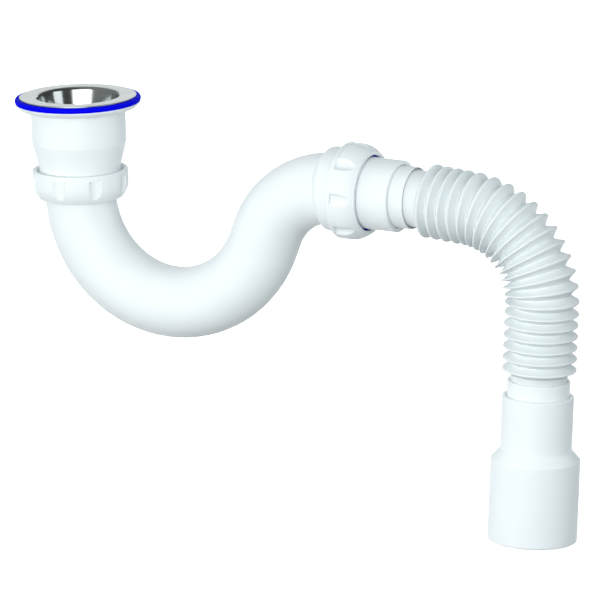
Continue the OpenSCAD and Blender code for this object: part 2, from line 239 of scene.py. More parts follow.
# Broken edges, from a crisp one to a soft one
CRISP_EDGE = 0.15
EDGE = 0.2
WIDE_EDGE = 0.3
SOFT_EDGE = 0.4

# How finely round shapes are divided
SEGMENTS = 160
PIPE_SEGMENTS = 128
HOSE_SEGMENTS = 112
SEAL_SEGMENTS = 96
SMALL_SEGMENTS = 64
DRILL_SEGMENTS = 40
U_STEPS = 84
LIMB_STEPS = 3
RETURN_STEPS = 34
BORE_STEPS = 110
FLUTE_STEPS = 14
LAND_STEPS = 12
CROWN_STEPS = 22
NUT_END_STEPS = 4
SHARP_ANGLE = math.radians(38)

# The pinhole left where an outline ends at its axis, and how far cutters run past what they cut
AXIS_R = 0.02
DRILL_SPARE = 2.0
SLOT_SPARE = 1.0


def sin(a):
    return math.sin(math.radians(a))


def cos(a):
    return math.cos(math.radians(a))


def heading(a):
    """The direction of a centre line: 0 is straight down and 90 is +X."""
    return Vector((sin(a), 0, -cos(a)))


def across(a):
    """The direction square to a heading in the plane of the bends: +X where the line runs down."""
    return Vector((cos(a), 0, sin(a)))


def turned(p, a0, a1, r):
    """Where a centre line ends that starts at p and turns from one heading to another at a radius."""
    return p + math.copysign(r, a1 - a0) * (across(a0) - across(a1))


# The bend's centre line, measured from the top of its tail
tail_top = Vector((0, 0, TAIL_TOP_Z))
u_start = Vector((0, 0, U_START_Z))
u_end = turned(u_start, 0, U_BEND_A, U_BEND_R)
limb_end = u_end + LIMB_L * heading(U_BEND_A)
outlet_start = turned(limb_end, U_BEND_A, OUTLET_A, RETURN_BEND_R)
tail_l = TAIL_TOP_Z - U_START_Z
u_l = U_BEND_R * math.radians(U_BEND_A)
return_l = RETURN_BEND_R * math.radians(U_BEND_A - OUTLET_A)
return_start = tail_l + u_l + LIMB_L
bend_l = return_start + return_l


def bend_at(s):
    """The point and heading of the bend's centre line at distance s from the top of the tail."""
    if s <= tail_l:
        return tail_top + s * heading(0), 0
    s -= tail_l
    if s <= u_l:
        a = math.degrees(s / U_BEND_R)
        return turned(u_start, 0, a, U_BEND_R), a
    s -= u_l
    if s <= LIMB_L:
        return u_end + s * heading(U_BEND_A), U_BEND_A
    s -= LIMB_L
    if s <= return_l:
        a = U_BEND_A - math.degrees(s / RETURN_BEND_R)
        return turned(limb_end, U_BEND_A, a, RETURN_BEND_R), a
    return outlet_start + (s - return_l) * heading(OUTLET_A), OUTLET_A


# The hose's centre line, measured along the outlet from the end of the bend
sag_l = SAG_R * math.radians(SAG_A)
sag_end_x = SAG_START_X + sag_l
straight_a = OUTLET_A - SAG_A
end_a = straight_a - HOSE_BEND_A
bend_start_x = sag_end_x + HOSE_STRAIGHT_L
bend_end_x = bend_start_x + HOSE_BEND_R * math.radians(HOSE_BEND_A)
sag_start = outlet_start + SAG_START_X * heading(OUTLET_A)
sag_end = turned(sag_start, OUTLET_A, straight_a, SAG_R)
hose_bend_start = sag_end + HOSE_STRAIGHT_L * heading(straight_a)
hose_bend_end = turned(hose_bend_start, straight_a, end_a, HOSE_BEND_R)
last_fold_x = FIRST_FOLD_X + (FOLD_N - 1) * FOLD_PITCH
lower_collar_x = last_fold_x + NECK_LOWER_L
coupling_x = lower_collar_x + COLLAR_SHOW
hose_end_x = coupling_x + COLLAR_INSERT + HOSE_TAIL


def hose_at(x):
    """The point and heading of the hose's centre line at distance x from the end of the bend."""
    if x <= SAG_START_X:
        return outlet_start + x * heading(OUTLET_A), OUTLET_A
    if x <= sag_end_x:
        a = OUTLET_A - math.degrees((x - SAG_START_X) / SAG_R)
        return turned(sag_start, OUTLET_A, a, SAG_R), a
    if x <= bend_start_x:
        return sag_end + (x - sag_end_x) * heading(straight_a), straight_a
    if x <= bend_end_x:
        a = straight_a - math.degrees((x - bend_start_x) / HOSE_BEND_R)
        return turned(hose_bend_start, straight_a, a, HOSE_BEND_R), a
    return hose_bend_end + (x - bend_end_x) * heading(end_a), end_a


def straight_path(p, a):
    """A centre line that starts at p and runs straight along heading a."""
    return lambda x: (p + x * heading(a), a)


inlet_down = straight_path(Vector((0, 0, 0)), 0)
inlet_nut_path = straight_path(Vector((0, 0, SPIGOT_END_Z + SPIGOT_REACH)), 0)
outlet_nut_path = straight_path(outlet_start + OUTLET_NUT_X * heading(OUTLET_A), OUTLET_A)


# Outlines, as (distance along the axis, radius) pairs
def arc(x, r, radius, a0, a1, steps=6):
    """Points of an arc about (x, r), from angle a0 to a1, where 0 points along the axis."""
    return [
        (x + radius * cos(a0 + (a1 - a0) * i / steps), r + radius * sin(a0 + (a1 - a0) * i / steps))
        for i in range(steps + 1)
    ]


def evenly(x0, x1, r, steps):
    """Points spaced evenly along a stretch of one radius, without its first."""
    return [(x0 + (x1 - x0) * i / steps, r) for i in range(1, steps + 1)]


def held(outline, hold=0.35, longest=1.6):
    """Adds points near the ends of long stretches, so that shading stays flat up to each corner."""
    points = []
    for (x0, r0), (x1, r1) in zip(outline, outline[1:]):
        points.append((x0, r0))
        length = math.hypot(x1 - x0, r1 - r0)
        if length > longest:
            dx = (x1 - x0) * hold / length
            dr = (r1 - r0) * hold / length
            points += [(x0 + dx, r0 + dr), (x1 - dx, r1 - dr)]
    points.append(outline[-1])
    return points


# Shapes, as points in millimetres and faces
def around(path, x, r, q):
    """The point at distance x along a centre line, radius r and angle q round it, in radians."""
    centre, a = path(x)
    return centre + r * (math.cos(q) * across(a) + math.sin(q) * Vector((0, 1, 0)))


def ring_faces(rows, count, closed=True):
    """Faces between rings of points that follow each other, and from the last to the first."""
    faces = []
    for i in range(rows if closed else rows - 1):
        k = (i + 1) % rows
        for j in range(count):
            m = (j + 1) % count
            faces.append((i * count + j, i * count + m, k * count + m, k * count + j))
    return faces


def swept(path, outline, count, closed=True):
    """An outline carried round a centre line."""
    points = [around(path, x, r, 2 * math.pi * j / count) for x, r in outline for j in range(count)]
    return points, ring_faces(len(outline), count, closed)


def bar(path, x0, x1, r, count):
    """A round bar with flat ends."""
    points, faces = swept(path, [(x0, r), (x1, r)], count, closed=False)
    faces.append(tuple(range(count - 1, -1, -1)))
    faces.append(tuple(range(count, 2 * count)))
    return points, faces


def box_shape(x0, x1, y0, y1, z0, z1, turn=0):
    """A box, turned about the Z axis."""
    points = [
        Matrix.Rotation(math.radians(turn), 3, "Z") @ Vector((x, y, z))
        for z in (z0, z1) for y in (y0, y1) for x in (x0, x1)
    ]
    faces = [(0, 2, 3, 1), (4, 5, 7, 6), (0, 1, 5, 4), (2, 6, 7, 3), (0, 4, 6, 2), (1, 3, 7, 5)]
    return points, faces


def thread(path, x0, x1, root_r, crest_r, phase=0.0, pitch=THREAD_PITCH, steps=72):
    """A right-handed thread ridge that stands on root_r and tapers out at both ends."""
    turns = (x1 - x0) / pitch
    count = int(turns * steps)
    base_half = THREAD_BASE / 2 * pitch
    crest_half = THREAD_CREST / 2 * pitch
    base = root_r - math.copysign(THREAD_SINK, crest_r - root_r)
    points = []
    for i in range(count + 1):
        share = i / count
        grow = min(1, share * turns / THREAD_RUN_IN, (1 - share) * turns / THREAD_RUN_IN)
        x = x0 + (x1 - x0) * share
        q = -2 * math.pi * turns * share + phase
        crest = base + (crest_r - base) * grow
        for dx, r in ((-base_half, base), (-crest_half, crest), (crest_half, crest), (base_half, base)):
            points.append(around(path, x + dx, r, q))
    faces = ring_faces(count + 1, 4, closed=False)
    faces.append((3, 2, 1, 0))
    faces.append(tuple(range(4 * count, 4 * count + 4)))
    return points, faces


def merged(*shapes):
    """Several shapes as one list of points and one of faces."""
    points = []
    faces = []
    for shape_points, shape_faces in shapes:
        start = len(points)
        points += shape_points
        faces += [tuple(start + i for i in face) for face in shape_faces]
    return points, faces


# Meshes and pieces
def shade(mesh):
    """Smooth shading, with an edge wherever the surface turns sharply."""
    for polygon in mesh.polygons:
        polygon.use_smooth = True
    mesh.set_sharp_from_angle(angle=SHARP_ANGLE)


def closed_mesh(name, *shapes):
    """An object made of closed shapes, with every face turned outwards."""
    points, faces = merged(*shapes)
    mesh = bpy.data.meshes.new(name)
    mesh.from_pydata([p * MM for p in points], [], faces)
    mesh.validate()
    bm = bmesh.new()
    bm.from_mesh(mesh)
    bmesh.ops.recalc_face_normals(bm, faces=bm.faces)
    bm.to_mesh(mesh)
    bm.free()
    mesh.update()
    shade(mesh)
    piece = bpy.data.objects.new(name, mesh)
    bpy.context.scene.collection.objects.link(piece)
    return piece


def skin(node, shapes, body, material):
    """Makes the visible piece that stands for a CAD node, with its body and its material."""
    piece = closed_mesh(node + "_skin", *shapes)
    piece.data.materials.append(material)
    if body:
        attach(piece, body)
    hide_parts(node)
    return piece


def add_shape(piece, shape):
    """Adds a closed shape to a piece that is already cut."""
    extra = closed_mesh("extra", shape)
    bm = bmesh.new()
    bm.from_mesh(piece.data)
    bm.from_mesh(extra.data)
    bm.to_mesh(piece.data)
    bm.free()
    bpy.data.objects.remove(extra)
    piece.data.set_sharp_from_angle(angle=SHARP_ANGLE)


def cut(piece, *shapes):
    """Cuts closed shapes out of a piece."""
    cutter = closed_mesh("cutter", *shapes)
    modifier = piece.modifiers.new("cut", "BOOLEAN")
    modifier.operation = "DIFFERENCE"
    modifier.solver = "EXACT"
    modifier.object = cutter
    bpy.context.view_layer.update()
    depsgraph = bpy.context.evaluated_depsgraph_get()
    mesh = bpy.data.meshes.new_from_object(piece.evaluated_get(depsgraph))
    piece.modifiers.clear()
    piece.data = mesh
    bpy.data.objects.remove(cutter)
    shade(mesh)


# Materials
def new_material(name):
    """A material with a principled shader and texture coordinates."""
    material = bpy.data.materials.new(name)
    material.use_nodes = True
    tree = material.node_tree
    tree.nodes.clear()
    output = tree.nodes.new("ShaderNodeOutputMaterial")
    shader = tree.nodes.new("ShaderNodeBsdfPrincipled")
    tree.links.new(shader.outputs["BSDF"], output.inputs["Surface"])
    coordinates = tree.nodes.new("ShaderNodeTexCoord")
    return material, tree, shader, coordinates


def noise(tree, coordinates, scale, detail, roughness=0.5, stretch=None):
    """A noise in the piece's own coordinates, stretched where stretch is given."""
    node = tree.nodes.new("ShaderNodeTexNoise")
    node.inputs["Scale"].default_value = scale
    node.inputs["Detail"].default_value = detail
    node.inputs["Roughness"].default_value = roughness
    if stretch is None:
        tree.links.new(coordinates.outputs["Object"], node.inputs["Vector"])
    else:
        mapping = tree.nodes.new("ShaderNodeMapping")
        mapping.inputs["Scale"].default_value = stretch
        tree.links.new(coordinates.outputs["Object"], mapping.inputs["Vector"])
        tree.links.new(mapping.outputs["Vector"], node.inputs["Vector"])
    return node.outputs["Fac"]


def colour_between(tree, factor, low, high):
    mix = tree.nodes.new("ShaderNodeMix")
    mix.data_type = "RGBA"
    mix.inputs["A"].default_value = (*low, 1)
    mix.inputs["B"].default_value = (*high, 1)
    tree.links.new(factor, mix.inputs["Factor"])
    return mix.outputs["Result"]


def value_between(tree, factor, low, high):
    """A value that follows a noise, whose own values lie between about 0.3 and 0.7."""
    node = tree.nodes.new("ShaderNodeMapRange")
    node.inputs["From Min"].default_value = 0.3
    node.inputs["From Max"].default_value = 0.7
    node.inputs["To Min"].default_value = low
    node.inputs["To Max"].default_value = high
    tree.links.new(factor, node.inputs["Value"])
    return node.outputs["Result"]


def bump(tree, shader, height, strength, distance):
    node = tree.nodes.new("ShaderNodeBump")
    node.inputs["Strength"].default_value = strength
    node.inputs["Distance"].default_value = distance
    tree.links.new(height, node.inputs["Height"])
    tree.links.new(node.outputs["Normal"], shader.inputs["Normal"])


def moulded_plastic(name, low, high, rough_low, rough_high):
    """Satin moulded plastic: a faint cloudiness in colour and gloss, and a fine mould texture."""
    material, tree, shader, coordinates = new_material(name)
    cloud = noise(tree, coordinates, scale=45, detail=4)
    fine = noise(tree, coordinates, scale=900, detail=2)
    tree.links.new(colour_between(tree, cloud, low, high), shader.inputs["Base Color"])
    tree.links.new(value_between(tree, cloud, rough_low, rough_high), shader.inputs["Roughness"])
    shader.inputs["Specular IOR Level"].default_value = 0.18
    shader.inputs["Subsurface Weight"].default_value = 0.12
    shader.inputs["Subsurface Radius"].default_value = (1.0, 1.0, 1.0)
    shader.inputs["Subsurface Scale"].default_value = 0.0015
    bump(tree, shader, fine, strength=0.06, distance=0.00006)
    return material


def blue_rubber(name):
    """Matt rubber of one strong blue, with a fine grain."""
    material, tree, shader, coordinates = new_material(name)
    cloud = noise(tree, coordinates, scale=60, detail=3)
    fine = noise(tree, coordinates, scale=1200, detail=2)
    colour = colour_between(tree, cloud, low=(0.0002, 0.0004, 0.74), high=(0.0006, 0.001, 0.86))
    tree.links.new(colour, shader.inputs["Base Color"])
    tree.links.new(value_between(tree, cloud, low=0.55, high=0.7), shader.inputs["Roughness"])
    shader.inputs["Specular IOR Level"].default_value = 0.03
    bump(tree, shader, fine, strength=0.08, distance=0.00008)
    return material


def metal(name, low, high, stretch):
    """Bare metal with fine streaks. Its roughness is left to be set."""
    material, tree, shader, coordinates = new_material(name)
    streaks = noise(tree, coordinates, scale=160, detail=4, roughness=0.6, stretch=stretch)
    cloud = noise(tree, coordinates, scale=30, detail=3)
    tree.links.new(colour_between(tree, cloud, low, high), shader.inputs["Base Color"])
    shader.inputs["Metallic"].default_value = 1.0
    bump(tree, shader, streaks, strength=0.05, distance=0.000004)
    return material, tree, shader, coordinates, streaks


def polished_steel(name):
    """Pressed stainless sheet: polished inside the cup, satin on the flat flange."""
    polish_end_z = -0.5
    low = (0.62, 0.67, 0.665)
    high = (0.67, 0.715, 0.71)
    material, tree, shader, coordinates, streaks = metal(name, low, high, stretch=(1, 1, 6))
    height = tree.nodes.new("ShaderNodeSeparateXYZ")
    tree.links.new(coordinates.outputs["Object"], height.inputs[0])
    flat = tree.nodes.new("ShaderNodeMapRange")
    flat.interpolation_type = "SMOOTHSTEP"
    flat.inputs["From Min"].default_value = polish_end_z * MM
    flat.inputs["From Max"].default_value = SHEET_T * MM
    tree.links.new(height.outputs["Z"], flat.inputs["Value"])
    mix = tree.nodes.new("ShaderNodeMix")
    tree.links.new(flat.outputs["Result"], mix.inputs["Factor"])
    tree.links.new(value_between(tree, streaks, low=0.12, high=0.17), mix.inputs["A"])
    tree.links.new(value_between(tree, streaks, low=0.30, high=0.40), mix.inputs["B"])
    tree.links.new(mix.outputs["Result"], shader.inputs["Roughness"])
    return material


def turned_brass(name):
    """Brass with turning marks round its axis."""
    low = (0.70, 0.50, 0.22)
    high = (0.78, 0.58, 0.28)
    material, tree, shader, _, streaks = metal(name, low, high, stretch=(1, 1, 14))
    tree.links.new(value_between(tree, streaks, low=0.20, high=0.32), shader.inputs["Roughness"])
    return material


white_plastic = moulded_plastic("white_plastic", (0.80, 0.848, 0.862), (0.84, 0.884, 0.895), 0.38, 0.46)
hose_plastic = moulded_plastic("hose_plastic", (0.755, 0.80, 0.81), (0.80, 0.845, 0.855), 0.40, 0.50)
rubber = blue_rubber("blue_rubber")
steel = polished_steel("polished_steel")
brass = turned_brass("turned_brass")


# Strainer cup
def drain_cutter(d, ring_r, turn):
    """A bar that cuts one drain hole, on a ring round the axis."""
    centre = Vector((ring_r * cos(turn), ring_r * sin(turn), 0))
    start = CUP_DEPTH - DRILL_SPARE
    end = CUP_DEPTH + SHEET_T + DRILL_SPARE
    return bar(straight_path(centre, 0), start, end, d / 2, DRILL_SEGMENTS)


lip_r = CUP_R + LIP_R
corner_x = CUP_DEPTH - CUP_CORNER_R
floor_r = (
    lip_r - (LIP_R + CUP_CORNER_R) / cos(CUP_LEAN_A)
    - (corner_x + SHEET_T - LIP_R) * math.tan(math.radians(CUP_LEAN_A))
)
lean_a = 90 + CUP_LEAN_A
edge_r = SHEET_T / 2
hole_r = SCREW_R + SCREW_CLEARANCE
cup_outline = (
    [(CUP_DEPTH, hole_r), (CUP_DEPTH, floor_r)]
    + arc(corner_x, floor_r, CUP_CORNER_R, 0, 90 - CUP_LEAN_A, 10)
    + arc(LIP_R - SHEET_T, lip_r, LIP_R, -lean_a, -180, 14)
    + arc(-edge_r, STRAINER_R - edge_r, edge_r, 180, 0, 10)
    + arc(LIP_R - SHEET_T, lip_r, LIP_R - SHEET_T, -180, -lean_a, 14)
    + arc(corner_x, floor_r, CUP_CORNER_R + SHEET_T, 90 - CUP_LEAN_A, 0, 10)
    + [(CUP_DEPTH + SHEET_T, hole_r)]
)
cup_shape = swept(inlet_down, held(cup_outline), SEGMENTS)
cup = skin("strainer_cup", [cup_shape], "strainer", steel)
outer_ring_r = floor_r - DRAIN_D / 2 - DRAIN_WEB
inner_ring_r = (outer_ring_r - DRAIN_D / 2 + SCREW_HEAD_R) / 2
inner_d = min(DRAIN_D, outer_ring_r - DRAIN_D / 2 - SCREW_HEAD_R - 2 * DRAIN_WEB)
inner_step = 720 / DRAIN_N
inner_start = inner_step / 4
cut(
    cup,
    *(drain_cutter(DRAIN_D, outer_ring_r, i * 360 / DRAIN_N) for i in range(DRAIN_N)),
    *(drain_cutter(inner_d, inner_ring_r, inner_start + i * inner_step) for i in range(DRAIN_N // 2)),
)

# Centre screw
screw_end = -SCREW_TIP_Z
thread_end = screw_end - SCREW_TIP_L
thread_start = CUP_DEPTH + SCREW_SHANK_L
thread_depth = SCREW_R - SCREW_ROOT_R
head_top = CUP_DEPTH - SCREW_HEAD_H
screw_outline = (
    [(screw_end, AXIS_R), (screw_end, SCREW_ROOT_R - thread_depth), (thread_end, SCREW_ROOT_R)]
    + [(thread_start, SCREW_ROOT_R), (thread_start - thread_depth, SCREW_R), (CUP_DEPTH, SCREW_R)]
    + [(CUP_DEPTH, SCREW_HEAD_R - EDGE), (CUP_DEPTH - EDGE, SCREW_HEAD_R)]
    + arc(head_top + SCREW_HEAD_ROUND, SCREW_HEAD_R - SCREW_HEAD_ROUND, SCREW_HEAD_ROUND, 90, 180, 8)
    + [(head_top, AXIS_R)]
)
screw_shape = swept(inlet_down, screw_outline, SMALL_SEGMENTS)
screw = skin("strainer_screw", [screw_shape], "centre_screw", steel)
slot_reach = SCREW_HEAD_R + SLOT_SPARE
slot_half = SCREW_SLOT_W / 2
cut(screw, box_shape(-slot_reach, slot_reach, -slot_half, slot_half, -head_top - SCREW_SLOT_DEPTH, 0))
screw_thread = thread(
    inlet_down, thread_start, thread_end, SCREW_ROOT_R, SCREW_R, pitch=SCREW_PITCH, steps=40,
)
add_shape(screw, screw_thread)

# Brass insert that holds the screw
insert_top = -BRIDGE_Z
hub_end = insert_top + HUB_H
insert_end = hub_end + INSERT_FLANGE_T
insert_outline = [
    (insert_top, hole_r), (insert_top, INSERT_R - WIDE_EDGE), (insert_top + WIDE_EDGE, INSERT_R),
    (hub_end, INSERT_R), (hub_end, INSERT_FLANGE_R - WIDE_EDGE), (hub_end + WIDE_EDGE, INSERT_FLANGE_R),
    (insert_end - WIDE_EDGE, INSERT_FLANGE_R), (insert_end, INSERT_FLANGE_R - WIDE_EDGE),
    (insert_end, hole_r),
]
skin("threaded_insert", [swept(inlet_down, insert_outline, SMALL_SEGMENTS)], "waste", brass)

# Gasket under the strainer flange
gasket_bore_r = lip_r + GASKET_CLEARANCE
bulge_a = math.degrees(math.asin(GASKET_T / 2 / GASKET_BULGE_R))
gasket_outline = (
    [(0, gasket_bore_r)]
    + arc(GASKET_T / 2, GASKET_R - GASKET_BULGE_R, GASKET_BULGE_R, 90 + bulge_a, 90 - bulge_a, 12)
    + [(GASKET_T, gasket_bore_r)]
)
skin("basin_gasket", [swept(inlet_down, gasket_outline, SEGMENTS)], "waste", rubber)

# Waste body
flange_low = GASKET_T + BODY_FLANGE_T
flange_low_r = BODY_FLANGE_R - FLANGE_CHAMFER
crease_soft = 0.1
crease_drop = 0.03
body_outline = [
    (GASKET_T, BARREL_BORE_R),
    (GASKET_T, BODY_FLANGE_R - CRISP_EDGE),
    (GASKET_T + CRISP_EDGE, BODY_FLANGE_R),
    (flange_low - FLANGE_CHAMFER, BODY_FLANGE_R),
    (flange_low - CRISP_EDGE, flange_low_r + CRISP_EDGE),
    (flange_low, flange_low_r - CRISP_EDGE),
]
body_outline += arc(flange_low + FLANGE_FILLET, BARREL_R + FLANGE_FILLET, FLANGE_FILLET, 180, 270, 5)
body_outline += [
    (-CREASE_Z - crease_soft, BARREL_R),
    (-CREASE_Z + crease_soft, BARREL_R - crease_drop),
    (-SPIGOT_TOP_Z, SPIGOT_ROOT_R),
    (-SPIGOT_END_Z, SPIGOT_ROOT_R),
    (-SPIGOT_END_Z, MOUTH_R),
    (-SPIGOT_END_Z - MOUTH_L, SOCKET_BORE_R),
    (-SPIGOT_TOP_Z, SOCKET_BORE_R),
    (-CREASE_Z, BARREL_BORE_R),
]
hub_bore_r = INSERT_R + INSERT_CLEARANCE
hub_outline = [(insert_top, hub_bore_r), (insert_top, HUB_R), (hub_end, HUB_R), (hub_end, hub_bore_r)]
rib = (HUB_R - RIB_SINK, BARREL_BORE_R - RIB_END_GAP, -RIB_T / 2, RIB_T / 2, BRIDGE_Z - RIB_H, BRIDGE_Z)
inlet_thread = thread(
    inlet_down, -SPIGOT_TOP_Z + THREAD_TOP_GAP, -SPIGOT_END_Z - THREAD_END_GAP,
    SPIGOT_ROOT_R, THREAD_CREST_R,
)
skin(
    "waste_body",
    [
        swept(inlet_down, held(body_outline), SEGMENTS),
        swept(inlet_down, hub_outline, SMALL_SEGMENTS),
        inlet_thread,
        *(box_shape(*rib, turn=RIB_TURN + i * 360 / RIB_N) for i in range(RIB_N)),
    ],
    "waste", white_plastic,
)


# Union nuts
def nut_outer_r(x):
    """Radius of the nut's outside before its flutes."""
    if x <= NUT_BARREL_L:
        return NUT_R
    return NUT_R - NUT_CROWN_R + math.sqrt(NUT_CROWN_R ** 2 - (x - NUT_BARREL_L) ** 2)


def flute_half_angle(r):
    """Half the angle, in radians, that a flute takes of the nut's outside at radius r."""
    share = (r * r + FLUTE_AXIS_R ** 2 - FLUTE_R ** 2) / (2 * r * FLUTE_AXIS_R)
    return math.acos(min(1, share))


def flute_floor(q):
    """Radius of a flute's floor at angle q from its middle."""
    return FLUTE_AXIS_R * math.cos(q) - math.sqrt(max(0, FLUTE_R ** 2 - (FLUTE_AXIS_R * math.sin(q)) ** 2))


def nut_angles(half):
    """Angles round one flute and the land after it, with the flute's edges at -half and half."""
    land = 2 * math.pi / FLUTE_N - 2 * half
    angles = [-half + 2 * half * i / FLUTE_STEPS for i in range(FLUTE_STEPS + 1)]
    return angles + [half + land * i / LAND_STEPS for i in range(1, LAND_STEPS)]


def union_nut(path):
    """A union nut along a path that starts at its rim, with grip flutes sunk in its outside.

    Each row holds a distance, a radius, the flutes' half angle in radians and whether they are cut there.
    Past its run-out a flute's columns close up to CLOSED_FLUTE_A.
    """
    face_x = NUT_L - NUT_END_ROUND
    face_r = nut_outer_r(face_x)
    barrel_half = flute_half_angle(NUT_R)
    deepest = FLUTE_AXIS_R - FLUTE_R
    run_out = NUT_BARREL_L + math.sqrt(NUT_CROWN_R ** 2 - (deepest - NUT_R + NUT_CROWN_R) ** 2)
    rim = arc(NUT_RIM_ROUND, NUT_R - NUT_RIM_ROUND, NUT_RIM_ROUND, 180, 90)
    rows = [(x, r, barrel_half, False) for x, r in rim]
    rows.append((FLUTE_START, NUT_R, barrel_half, False))
    rows += [(x, NUT_R, barrel_half, True) for x in (FLUTE_START, *FLUTE_ROWS, NUT_BARREL_L)]
    for i in range(1, CROWN_STEPS + 1):
        x = NUT_BARREL_L + (run_out - NUT_BARREL_L) * math.sin(math.pi / 2 * i / CROWN_STEPS)
        r = nut_outer_r(x)
        rows.append((x, r, max(flute_half_angle(r), CLOSED_FLUTE_A), i < CROWN_STEPS))
    for i in range(1, NUT_END_STEPS + 1):
        x = run_out + (face_x - run_out) * i / NUT_END_STEPS
        rows.append((x, nut_outer_r(x), CLOSED_FLUTE_A, False))
    for x, r in arc(face_x, face_r - NUT_END_ROUND, NUT_END_ROUND, 60, 0):
        rows.append((x, r, CLOSED_FLUTE_A, False))
    inside = [
        (NUT_L, NUT_HOLE_R + EDGE), (NUT_L - EDGE, NUT_HOLE_R), (NUT_SHOULDER_X, NUT_HOLE_R),
        (NUT_SHOULDER_X, NUT_SHOULDER_R), (NUT_LAND_X, NUT_BORE_R), (NUT_LEAD, NUT_BORE_R),
        (EDGE, NUT_LEAD_R), (0, NUT_LEAD_R + EDGE),
    ]
    rows += [(x, r, barrel_half, False) for x, r in inside]
    points = []
    for x, r, half, fluted in rows:
        for k in range(FLUTE_N):
            turn = math.pi / 2 + k * 2 * math.pi / FLUTE_N
            for q in nut_angles(half):
                radius = min(r, flute_floor(q)) if fluted and abs(q) <= half + 1e-9 else r
                points.append(around(path, x, radius, q + turn))
    return points, ring_faces(len(rows), FLUTE_N * (FLUTE_STEPS + LAND_STEPS))


def nut_thread(path):
    """The nut's inner thread, half a turn from the spigot's."""
    start = NUT_LEAD + NUT_THREAD_GAP
    end = NUT_LAND_X - THREAD_EDGE_GAP
    return thread(path, start, end, NUT_BORE_R, SPIGOT_ROOT_R + THREAD_CLEARANCE, phase=math.pi)


for end, path in (("inlet", inlet_nut_path), ("outlet", outlet_nut_path)):
    nut_shapes = [union_nut(path), nut_thread(path)]
    skin(end + "_nut", nut_shapes, end + "_union_nut", white_plastic)

# Cone seals
relief_r = SEAL_LIP_R + SEAL_RELIEF
relief_x = SEAL_TIP_X + SEAL_LIP_L
seal_outline = [
    (SEAL_TIP_X, SEAL_LIP_R), (SEAL_TIP_X, SEAL_TIP_R - CRISP_EDGE), (SEAL_TIP_X + CRISP_EDGE, SEAL_TIP_R),
    (SEAL_TIP_X + SEAL_CONE_L, SEAL_R), (NUT_SHOULDER_X - CRISP_EDGE, SEAL_R),
    (NUT_SHOULDER_X, SEAL_R - CRISP_EDGE), (NUT_SHOULDER_X, relief_r),
    (relief_x + SEAL_RELIEF_SLOPE, relief_r), (relief_x, SEAL_LIP_R),
]
for end, path in (("inlet", inlet_nut_path), ("outlet", outlet_nut_path)):
    seal_shape = swept(path, seal_outline, SEGMENTS)
    skin(end + "_seal", [seal_shape], end + "_seal_ring", rubber)

# Trap bend, one sweep out along its outside and back through its bore: distances from the tail's end with
# depths below its radius, and from the flare's start with heights above the pipe
TAIL_END = [(0, 1.0), (0.4, 0.2), (1.4, 0)]
FLARE_FOOT = [(-0.3, 0), (-0.1, 0.08), (0.15, 0.32)]
u_begin = tail_l + 2 * TAIL_FADE
u_finish = tail_l + u_l
flare_start = bend_l + FLARE_START
flare_end = bend_l + FLARE_END
shoulder_x = bend_l + OUTLET_NUT_X - THREAD_EDGE_GAP
spigot_end = bend_l + SOCKET_END_X
socket_floor = bend_l + SOCKET_FLOOR_X
bore_start = bend_l + BORE_START_X
bore_r = PIPE_R - PIPE_WALL
bend_outline = (
    [(x, TAIL_R - depth) for x, depth in TAIL_END]
    + [(tail_l - TAIL_FADE, TAIL_R), (tail_l + TAIL_FADE, PIPE_R), (u_begin, PIPE_R)]
    + evenly(u_begin, u_finish, PIPE_R, U_STEPS)
    + evenly(u_finish, return_start, PIPE_R, LIMB_STEPS)
    + evenly(return_start, flare_start - FLARE_GAP, PIPE_R, RETURN_STEPS)
    + [(flare_start + x, PIPE_R + rise) for x, rise in FLARE_FOOT]
    + arc(flare_end, THREAD_CREST_R - FLARE_ROUND, FLARE_ROUND, 90 + FLARE_LEAN_A, 90, 10)
    + [(shoulder_x - EDGE, THREAD_CREST_R), (shoulder_x, THREAD_CREST_R - EDGE), (shoulder_x, SPIGOT_ROOT_R)]
    + [(spigot_end - EDGE, SPIGOT_ROOT_R), (spigot_end, SPIGOT_ROOT_R - EDGE), (spigot_end, MOUTH_R)]
    + [(spigot_end - MOUTH_L, SOCKET_BORE_R), (socket_floor, SOCKET_BORE_R), (socket_floor, bore_r)]
    + [(bore_start, bore_r)]
    + evenly(bore_start, 0, bore_r, BORE_STEPS)
)
outlet_thread = thread(
    outlet_nut_path, THREAD_EDGE_GAP, SPIGOT_REACH - THREAD_END_GAP, SPIGOT_ROOT_R, THREAD_CREST_R,
)
bend_shape = swept(bend_at, bend_outline, PIPE_SEGMENTS)
skin("trap_bend", [bend_shape, outlet_thread], "bend", white_plastic)

# Sleeve
sleeve_outline = (
    [(SLEEVE_START_X, SLEEVE_BORE_R), (SLEEVE_START_X, TAIL_R - WIDE_EDGE)]
    + [(SLEEVE_START_X + WIDE_EDGE, TAIL_R)]
    + arc(SLEEVE_END_X - SLEEVE_ROUND, TAIL_R - SLEEVE_ROUND, SLEEVE_ROUND, 90, 0, 8)
    + [(SLEEVE_END_X, SLEEVE_BORE_R)]
)
sleeve_shape = swept(hose_at, held(sleeve_outline), SEGMENTS)
skin("outlet_sleeve", [sleeve_shape], "sleeve", white_plastic)

# Collars and the seals behind them
collar_l = COLLAR_INSERT + COLLAR_SHOW


def collar(path, mouth):
    """A clip collar along a path that starts at its inserted end, with the points of its mouth."""
    outline = (
        [(0, COLLAR_BORE_R), (0, COLLAR_R - WIDE_EDGE), (WIDE_EDGE, COLLAR_R)]
        + arc(collar_l - SOFT_EDGE, COLLAR_R - SOFT_EDGE, SOFT_EDGE, 90, 0)
        + mouth
    )
    return swept(path, held(outline), SEGMENTS)


